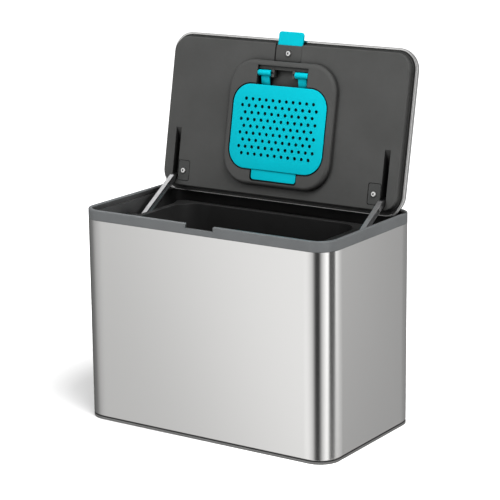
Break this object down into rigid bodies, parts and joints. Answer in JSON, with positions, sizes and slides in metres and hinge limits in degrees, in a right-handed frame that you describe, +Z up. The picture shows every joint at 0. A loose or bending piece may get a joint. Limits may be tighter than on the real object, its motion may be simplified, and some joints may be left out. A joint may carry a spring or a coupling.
{
  "type": "kitchen compost bin",
  "caption": "Countertop compost bin: rounded steel sleeve with a plastic rim and base, lift-out bucket, and a hinged steel lid with a vented filter cover and a pull tab.",
  "frame": {"origin": "centre of the base's flat underside", "axes": "+Z up, front (pull tab and notch) towards -Y, hinge arms and lid at +Y, lid stored open"},
  "size_m": [0.26, 0.1635, 0.3446],
  "materials": {
    "brushed_steel": "fine horizontal brushing, fingerprint-proof satin",
    "rim_plastic": "moulded satin",
    "frame_plastic": "moulded satin",
    "liner_plastic": "fine spark-textured moulding",
    "bucket_plastic": "smooth moulding",
    "base_plastic": "moulded satin",
    "teal_plastic": "smooth satin moulding",
    "arm_metal": "satin cast metal",
    "plated_steel": "bright plated",
    "carbon_felt": "needled carbon felt"
  },
  "bodies": {
    "bin": {"base_plate": "base_plastic", "steel_casing": "brushed_steel", "rim_trim": "rim_plastic", "rim_frame": "frame_plastic", "inner_bucket": "bucket_plastic", "hinge_arm_left": "arm_metal", "hinge_arm_right": "arm_metal", "arm_screws": "plated_steel"},
    "lid": {"lid_cover": "brushed_steel", "lid_liner": "liner_plastic", "hinge_pin_left": "plated_steel", "hinge_pin_right": "plated_steel", "hinge_plate_left": "liner_plastic", "hinge_plate_right": "liner_plastic", "hinge_plate_screws": "plated_steel", "pull_tab": "teal_plastic", "tab_retainer": "liner_plastic", "tab_screw": "plated_steel", "carbon_filter": "carbon_felt", "filter_hinge_rod": "plated_steel"},
    "filter_cover": {"filter_cover": "teal_plastic"}
  },
  "joints": [
    {"name": "lid_hinge", "type": "hinge", "parent": "bin", "child": "lid", "pos_m": [0, 0.05975, 0.2036], "axis": [1, 0, 0], "range_deg": [0, 101]},
    {"name": "filter_cover_hinge", "type": "hinge", "parent": "lid", "child": "filter_cover", "pos_m": [0, 0.06257, 0.30773], "axis": [-1, 0, 0], "range_deg": [0, 90]}
  ]
}
